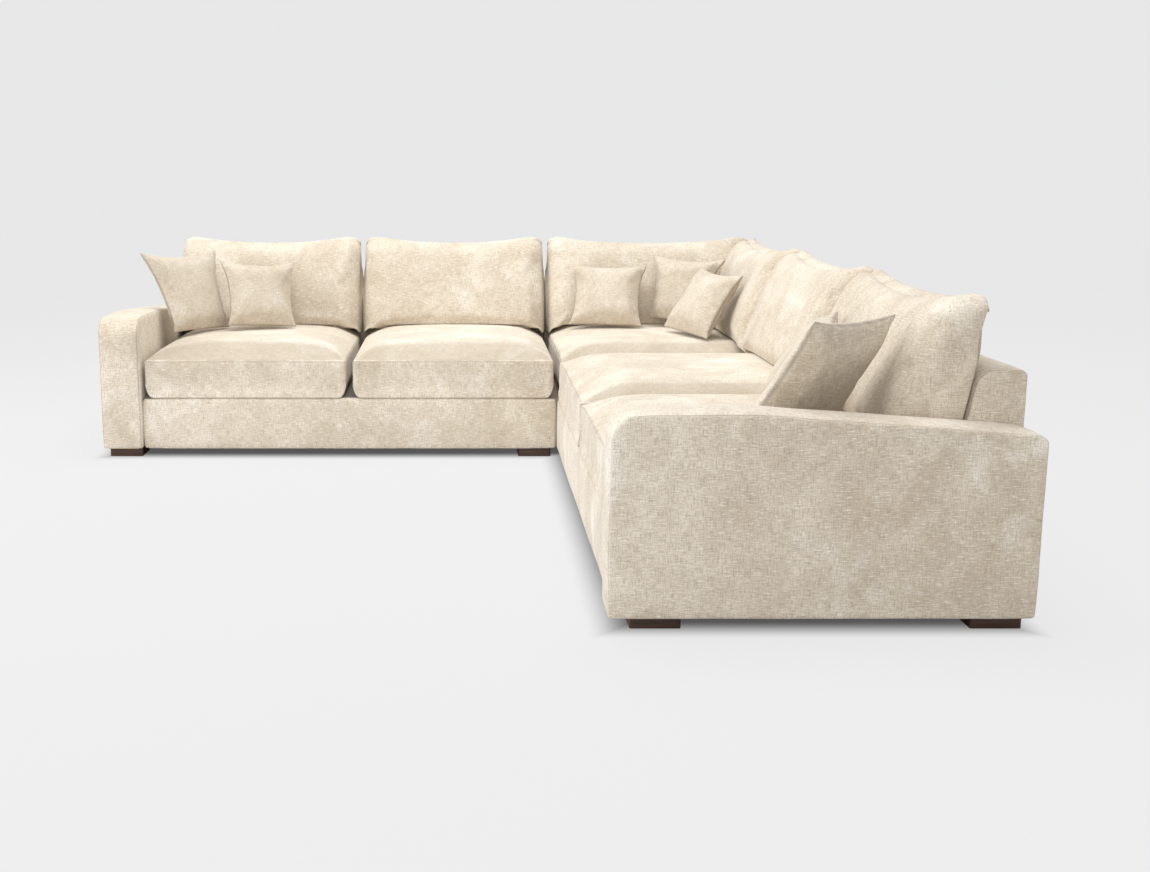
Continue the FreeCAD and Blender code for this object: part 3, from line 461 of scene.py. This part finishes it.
def boxed_mesh(name, spans, form):
    """a closed box of quads; form turns shares of its three spans into a place in metres"""
    counts = [len(span) - 1 for span in spans]
    shares = [[spot / span[-1] for spot in span] for span in spans]
    index = {}
    points, seams = [], []

    def corner(i, j, k):
        key = (i, j, k)
        if key not in index:
            index[key] = len(points)
            points.append(form(shares[0][i], shares[1][j], shares[2][k]))
            rims = (i in (0, counts[0])) + (j in (0, counts[1])) + (k in (0, counts[2]))
            seams.append(key if rims >= 2 else None)
        return index[key]

    faces = []
    for fixed in range(3):
        a, b = [axis for axis in range(3) if axis != fixed]
        for at_end in (False, True):
            for p in range(counts[a]):
                for q in range(counts[b]):
                    quad = []
                    for dp, dq in ((0, 0), (1, 0), (1, 1), (0, 1)):
                        key = [0, 0, 0]
                        key[fixed] = counts[fixed] if at_end else 0
                        key[a] = p + dp
                        key[b] = q + dq
                        quad.append(corner(*key))
                    if at_end == (fixed == 1):
                        quad.reverse()
                    faces.append(quad)
    mesh = bpy.data.meshes.new(name)
    mesh.from_pydata(points, [], faces)
    mesh.update()
    made = bpy.data.objects.new(name, mesh)
    scene.collection.objects.link(made)
    return made, seams, counts


def table(distance, pairs):
    """reads a value at a distance from a short list of pairs, with straight lines between them"""
    last_spot, last_value = pairs[0]
    for spot, value in pairs:
        if distance <= spot:
            share = (distance - last_spot) / (spot - last_spot) if spot > last_spot else 1
            return last_value + (value - last_value) * share
        last_spot, last_value = spot, value
    return last_value


settling = []
settle_frames = 20


def settle_later(cushion, seams, held, pressure, shrink, cap, painted_seam_shade):
    """hangs a cloth on the cushion; all cushions are then blown up together"""
    pinned = cushion.vertex_groups.new(name="held")
    for number, amount in enumerate(held):
        if amount > 0:
            pinned.add([number], amount, "REPLACE")
    drawn = cushion.vertex_groups.new(name="drawn")
    drawn.add([number for number, key in enumerate(seams) if key], 1.0, "REPLACE")
    start = [vertex.co.copy() for vertex in cushion.data.vertices]
    settling.append((cushion, seams, start, cap, painted_seam_shade))
    cloth = cushion.modifiers.new("cloth", "CLOTH")
    cloth.settings.quality = 4
    cloth.settings.mass = 0.3
    cloth.settings.tension_stiffness = 18
    cloth.settings.compression_stiffness = 12
    cloth.settings.shear_stiffness = 6
    cloth.settings.bending_stiffness = 0.8
    cloth.settings.use_pressure = True
    cloth.settings.uniform_pressure_force = pressure
    cloth.settings.effector_weights.gravity = 0
    cloth.settings.vertex_group_mass = "held"
    cloth.settings.vertex_group_shrink = "drawn"
    cloth.settings.shrink_min = 0.0
    cloth.settings.shrink_max = shrink
    cloth.collision_settings.use_collision = False
    cloth.collision_settings.use_self_collision = False
    cloth.point_cache.frame_start = 1
    cloth.point_cache.frame_end = settle_frames


seat_bottom = 0.250
seat_seam = 0.405
seat_crown = 0.462
corner_round = 0.046
seat_names = ("left_seat_cushion_outer", "left_seat_cushion_inner", "corner_seat_cushion",
              "right_seat_cushion_rear", "right_seat_cushion_front")
side_falls = ((0, 1.0), (0.006, 0.88), (0.025, 0.66), (0.06, 0.44), (0.11, 0.25), (0.18, 0.11),
              (0.27, 0.03), (0.36, 0))
seat_gap = 0.0015
crown_reach = 0.23
front_belly = 0.004
corner_pull = 0.005
cushion_cell = 0.015
pads = {}
for node in seat_names:
    low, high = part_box(node)
    along_y = node.startswith("right")
    width = (high.y - low.y) if along_y else (high.x - low.x)
    depth = (high.x - low.x) if along_y else (high.y - low.y)

    def seat_form(u, v, w, node=node, width=width, depth=depth, low=low, high=high, along_y=along_y):
        from_side = min(u, 1 - u) * width
        from_front = v * depth
        rise = 1 - (1 - min(from_front / crown_reach, 1)) ** 2.3
        # The corner seat stays fuller at its sides than the others.
        if node == "corner_seat_cushion":
            side = 0.25 + 0.75 * (1 - table(from_side, side_falls))
        else:
            side = 1 - table(from_side, side_falls)
        top = seat_seam + (seat_crown - seat_seam) * side * (0.06 + 0.94 * rise)
        turn_in = max(0, 1 - from_side / corner_round)
        bottom = seat_bottom + corner_round * (1 - math.sqrt(1 - turn_in ** 2))
        belly = 4 * w * (1 - w)
        across = seat_gap + (width - 2 * seat_gap) * u
        deep = seat_gap + (depth - seat_gap) * v
        if v == 0:
            deep -= front_belly * belly * min(1, from_side / 0.08)
            deep += corner_pull * max(0, 1 - from_side / 0.03) ** 2
        if 0 < u < 1 and 0 < v < 1 and w == 1:
            up = top
        else:
            up = bottom + (seat_seam - bottom) * w
        if along_y:
            return Vector((low.x + deep, high.y - across, up))
        return Vector((low.x + across, low.y + deep, up))

    spans = [steps_along(length, cushion_cell) for length in (width, depth, seat_seam - seat_bottom)]
    cushion, seams, _ = boxed_mesh(node.replace("_cushion", "") + "_pad", spans, seat_form)
    hold = []
    for vertex in cushion.data.vertices:
        hold.append(1.0 if vertex.co.z < seat_bottom + 0.004 else 0.0)
    settle_later(cushion, seams, hold, pressure=3.0, shrink=0.015, cap=0.012, painted_seam_shade=0.45)
    pads[node] = cushion

# The back cushions: fibre in boxed covers that lean on the backs. The top corners stand up as ears
# with the edge dipping between them, and the two in the corner are cut to meet on a mitre.
back_slope = 0.186
back_base = 0.926
back_front = 0.760
back_seat = 0.466
back_top = 0.868
back_depth = 0.125
back_height = 0.40
back_bow = 0.026
head_depth = 0.084
bow_end = 0.860
back_gap = 0.002
ear_falls = ((0, 0.030), (0.010, 0.015), (0.025, 0.006), (0.06, 0.0), (0.11, 0.004), (0.18, 0.010),
             (0.29, 0.018), (0.45, 0.022))
end_round = 0.075
head_round = 0.060
head_swell = 0.010
front_drop = 0.016
under_lifts = ((0, -0.040), (0.008, -0.029), (0.025, -0.018), (0.06, -0.009), (0.11, -0.004),
               (0.29, 0.0))
back_names = ("left_back_cushion_outer", "left_back_cushion_inner", "corner_back_cushion_rear",
              "corner_back_cushion_side", "right_back_cushion_rear", "right_back_cushion_front")
run_front_y = 0.5625
split_x = 0.396
rear_y = 1.6665
corner_strip = 0.090
run_start = {"left_back_cushion_outer": -1.330, "left_back_cushion_inner": -0.467,
             "corner_back_cushion_rear": split_x, "corner_back_cushion_side": corner_strip,
             "right_back_cushion_rear": 1.1245, "right_back_cushion_front": 2.14375}
back_widths = {"left": 0.863, "corner_back_cushion_rear": 1.104, "corner_back_cushion_side": 1.0345,
               "right": 1.01925}
for node in back_names:
    width = back_widths.get(node) or back_widths[node.split("_")[0]]
    on_side = node.startswith("right") or node.endswith("side")
    start = run_start[node]
    mitred = node.startswith("corner")

    def back_form(u, v, w, node=node, width=width, on_side=on_side, start=start, mitred=mitred):
        # How deep a point lies, without the bow and the rounds, is enough to place the mitre.
        rear_guess = back_base + back_slope * (back_seat + (back_top - back_seat) * w - back_seat)
        front_guess = back_front + (rear_guess - head_depth * w - back_front) * w
        deep_guess = front_guess + (rear_guess - front_guess) * v
        if node == "corner_back_cushion_rear":
            across = back_gap + (deep_guess - 2 * back_gap - back_gap) * u
        elif node == "corner_back_cushion_side":
            edge = back_widths["corner_back_cushion_rear"] - corner_strip + 2 * back_gap - deep_guess
            across = edge + (width - back_gap - edge) * u
        else:
            across = back_gap + (width - 2 * back_gap) * u
        from_start = 1.0 if node == "corner_back_cushion_side" else u * width
        from_end = 1.0 if node == "corner_back_cushion_rear" else (1 - u) * width
        from_side = min(from_start, from_end)
        joined = min(u, 1 - u) * width
        top = back_top - 0.003 - table(joined if mitred else from_side, ear_falls)
        low = back_seat + table(from_side, under_lifts)
        up = low + (top - low) * w
        share = (up - back_seat) / (bow_end - back_seat)
        bow = max(0, 4 * share * (1 - share)) * back_bow
        rear = back_base - back_gap + back_slope * (up - back_seat)
        head_line = back_base + back_slope * (back_top - back_seat) - head_depth
        front = back_front + (head_line - back_front) * share - 0.9 * bow - 0.012
        turn_in = max(0, 1 - from_side / end_round)
        front += end_round * (1 - math.sqrt(1 - turn_in ** 2)) * 0.85
        turn_in = max(0, 1 - max(0, top - up) / head_round)
        front += head_round * (1 - math.sqrt(1 - turn_in ** 2)) * 0.8
        deep = front + (rear - front) * v
        if w == 1:
            up += head_swell * math.sin(math.pi * v) - front_drop * (1 - v) + 0.002
        if on_side:
            return Vector((split_x + deep, rear_y - start - across, up))
        return Vector((start + across, run_front_y + deep, up))

    spans = [steps_along(length, cushion_cell) for length in (width, back_depth, back_height)]
    cushion, seams, counts = boxed_mesh(node.replace("_cushion", "") + "_pad", spans, back_form)
    hold = []
    for vertex in cushion.data.vertices:
        deep = (vertex.co.x - split_x) if on_side else (vertex.co.y - run_front_y)
        at_rear = deep > back_base - 0.010 + back_slope * (vertex.co.z - back_seat)
        hold.append(1.0 if at_rear and vertex.co.z < 0.70 else 0.0)
    seams = [key if key and key[1] == counts[1] else None for key in seams]
    settle_later(cushion, seams, hold, pressure=3.0, shrink=0.02, cap=0.012, painted_seam_shade=0.60)
    pads[node] = cushion

# The scatter cushions: feather pads in square covers sewn at their edges. The corners stay pointed
# and thin, the sides draw in between them, and each leans on what is behind it. A row gives a
# cushion's width at its head and foot, its height and thickness, its middle, and its three turns.
scatter_cell = 0.011
scatter_edge = 0.004
seam_half = 0.0025
corner_power = 3.2
scatters = (
    ("left_small_scatter_cushion", 0.366, 0.331, 0.330, 0.092, (-0.914, 1.170, 0.630), 23, 23.5, 3.5),
    ("left_large_scatter_cushion", 0.462, 0.346, 0.392, 0.092, (-1.214, 1.094, 0.651), 53, 23, 1),
    ("corner_small_left_scatter_cushion", 0.362, 0.348, 0.330, 0.092, (0.670, 1.246, 0.618), -12, 30, 0),
    ("corner_large_scatter_cushion", 0.398, 0.274, 0.325, 0.082, (1.004, 1.220, 0.6495), -37, 19, 2),
    ("corner_small_right_scatter_cushion", 0.356, 0.378, 0.335, 0.088, (1.050, 0.896, 0.619), -67, 33, 3),
    ("right_small_scatter_cushion", 0.362, 0.350, 0.354, 0.092, (1.057, -0.866, 0.6115), -103.5, 36.5, 0),
    ("right_large_scatter_cushion", 0.375, 0.440, 0.404, 0.100, (0.990, -1.334, 0.641), -142, 33, -1),
)
for node, head, foot, tall, thick, middle, yaw, lean, roll in scatters:
    turn = (Matrix.Rotation(math.radians(yaw), 3, "Z") @ Matrix.Rotation(math.radians(-lean), 3, "X")
            @ Matrix.Rotation(math.radians(roll), 3, "Y"))

    def scatter_form(u, v, w, head=head, foot=foot, tall=tall, thick=thick, middle=Vector(middle),
                     turn=turn):
        a, b = 2 * u - 1, 2 * w - 1
        draw = 0.055 * head
        half = (foot + (head - foot) * w) / 2 - draw * (1 - b * b)
        up = tall / 2 * b
        if b > 0:
            up -= draw * (1 - a * a) * b ** 3
        swell = ((1 - abs(a) ** corner_power) * (1 - abs(b) ** corner_power)) ** 0.6
        deep = (2 * v - 1) * (seam_half + thick / 2 * 0.92 * swell)
        return middle + turn @ Vector((half * a, deep, up))

    spans = [steps_along(head, scatter_cell, scatter_edge), [0, 2 * seam_half],
             steps_along(tall, scatter_cell, scatter_edge)]
    cushion, seams, _ = boxed_mesh(node.replace("_cushion", "") + "_pad", spans, scatter_form)
    hold = [0.0] * len(cushion.data.vertices)
    settle_later(cushion, seams, hold, pressure=2.4, shrink=0.06, cap=0.012, painted_seam_shade=0.55)
    pads[node] = cushion

# Settling: every cushion is blown up a little at the same time, so that its panels round out and
# pucker where the seams draw them in. Then the seams are pressed in and the faces made finer.
gather_reach = 0.075
seam_press = 0.0022
blown = {}
for number in range(1, settle_frames + 1):
    scene.frame_set(number)
for cushion, *_ in settling:
    settled = cushion.evaluated_get(bpy.context.evaluated_depsgraph_get())
    blown[cushion.name] = [vertex.co.copy() for vertex in settled.data.vertices]
scene.frame_set(1)
for cushion, seams, start, cap, painted_seam_shade in settling:
    cushion.modifiers.clear()
    if cushion.name in blown:
        for vertex, before, after in zip(cushion.data.vertices, start, blown[cushion.name]):
            shift = after - before
            if shift.length > cap:
                shift *= cap / shift.length
            vertex.co = before + shift
    cushion.data.update()
    normals = [vertex.normal.copy() for vertex in cushion.data.vertices]
    painted_seam_layer = cushion.data.attributes.new("seam", "FLOAT", "POINT")
    gather = cushion.data.attributes.new("gather", "FLOAT", "POINT")
    tree = KDTree(sum(key is not None for key in seams))
    for vertex, key in zip(cushion.data.vertices, seams):
        if key:
            tree.insert(vertex.co, vertex.index)
    tree.balance()
    for vertex, key, normal in zip(cushion.data.vertices, seams, normals):
        reach = tree.find(vertex.co)[2]
        gather.data[vertex.index].value = max(0.0, 1 - reach / gather_reach) ** 1.5
        if key:
            vertex.co -= normal * seam_press
            # Painted shade: the seam line is darkened by its cushion's share.
            painted_seam_layer.data[vertex.index].value = painted_seam_shade
    cloth_map(cushion)
    cushion.vertex_groups.clear()
    finer = cushion.modifiers.new("finer", "SUBSURF")
    finer.levels = 1
    finer.render_levels = 1
    pick_none()
    cushion.select_set(True)
    bpy.context.view_layer.objects.active = cushion
    bpy.ops.object.modifier_apply(modifier="finer")
    bpy.ops.object.shade_smooth()

# The cloth is darkened on each kind of cushion by these shares. On the seats the slopes that face
# the front are darkened further, painted shade.
darkening_shares = (("right_large", 0.05), ("scatter", 0.34), ("back", 0.12), ("seat", 0.0))
slope_shade_share = 0.55
slope_start = 0.06
slope_shade_span = 0.20
for node, cushion in pads.items():
    tone_and_painted_shade = cushion.data.attributes.new("tone_and_painted_shade", "FLOAT", "POINT")
    kind_darkening = next(share for kind, share in darkening_shares if kind in node)
    for vertex in cushion.data.vertices:
        forward = 0.0
        # Painted shade: the seats' top slopes darken the more they face the front.
        if "seat" in node and vertex.co.z > seat_seam + 0.003:
            forward = slope_shade_share * min(1.0, max(0.0, (-vertex.normal.y - slope_start) / slope_shade_span))
        tone_and_painted_shade.data[vertex.index].value = max(kind_darkening, forward)
    dress(cushion, [node], node + "_body")

# The feet: low blocks of beech, stained very dark and sealed. The grain runs across the front, and
# the sealer gives a dull shine.
def plain_material(name, dark, pale, stretch, roughness, metal=0.0, bump=0.2):
    """a material of one stretched noise between two tones, which gives grain, rib or fibre"""
    made = new_material(name)
    place = add_node(made, "ShaderNodeTexCoord")
    spread = add_node(made, "ShaderNodeMapping", {"Vector": place.outputs["Object"]}, Scale=stretch)
    grain = add_node(made, "ShaderNodeTexNoise", {"Vector": spread.outputs["Vector"]},
                     Scale=1.0, Detail=5.0)
    tone = add_node(made, "ShaderNodeValToRGB", {"Fac": grain.outputs["Fac"]})
    tone.color_ramp.elements[0].position = 0.3
    tone.color_ramp.elements[0].color = linear(dark)
    tone.color_ramp.elements[1].position = 0.7
    tone.color_ramp.elements[1].color = linear(pale)
    relief = add_node(made, "ShaderNodeBump", {"Height": grain.outputs["Fac"]},
                      Strength=bump, Distance=0.0005)
    shader = add_node(made, "ShaderNodeBsdfPrincipled",
                      {"Base Color": tone.outputs[0], "Normal": relief.outputs["Normal"]},
                      Roughness=roughness)
    shader.inputs["Metallic"].default_value = metal
    finish_material(made, shader)
    return made


def repaint(material, ending):
    """gives a material to every CAD node whose name ends so"""
    for node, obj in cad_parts.items():
        if node.endswith(ending):
            obj.data.materials.clear()
            obj.data.materials.append(material)


repaint(plain_material("dark_stained_beech", "#36241b", "#553a2c", (6, 90, 90), 0.38), "_foot")

# The frames inside: rails, posts and boards of planed softwood, glued and screwed. The wood is pale
# and warm, with brown grain along the rails.
repaint(plain_material("planed_softwood", "#b98d5c", "#dcb988", (9, 60, 60), 0.65), "_frame")

# The webbing: ribbed elastic straps, woven over and under and stapled to the frames. They are
# black-brown, with the rubber's dull shine.
webbing = plain_material("elastic_webbing", "#2f2a26", "#4d463f", (240, 240, 40), 0.7, bump=0.5)
repaint(webbing, "webbing")

# The seat decks: pads of grey needled felt, laid on the webbing under the seat cushions. The matted
# fibres have no shine.
felt = plain_material("needled_felt", "#837d75", "#b0aaa0", (160, 160, 160), 0.95, bump=0.5)
repaint(felt, "seat_deck")

# The dust covers: thin black bonded cloth, stapled under each unit to close it. It is dimpled all
# over, which breaks up its shine.
dust_cloth = plain_material("bonded_dust_cloth", "#161616", "#2c2c2c", (300, 300, 300), 0.9, bump=0.4)
repaint(dust_cloth, "dust_cover")

# The joining panels: plain woven cotton lining, tacked over the faces where the two units meet. It
# is undyed, a flat grey-beige.
lining = plain_material("cotton_lining", "#8f8577", "#b5ab9b", (420, 60, 420), 0.9, bump=0.4)
repaint(lining, "joining_panel")

# The bolts, screws and connectors: zinc-plated steel, blue-white and lightly brushed. The bolts hold
# the feet, and the connectors hook the two units together.
zinc = plain_material("zinc_plated_steel", "#a4a7a9", "#d2d5d6", (30, 400, 30), 0.34, metal=1.0, bump=0.1)
for ending in ("bolts", "screws", "hooks", "sockets"):
    repaint(zinc, ending)
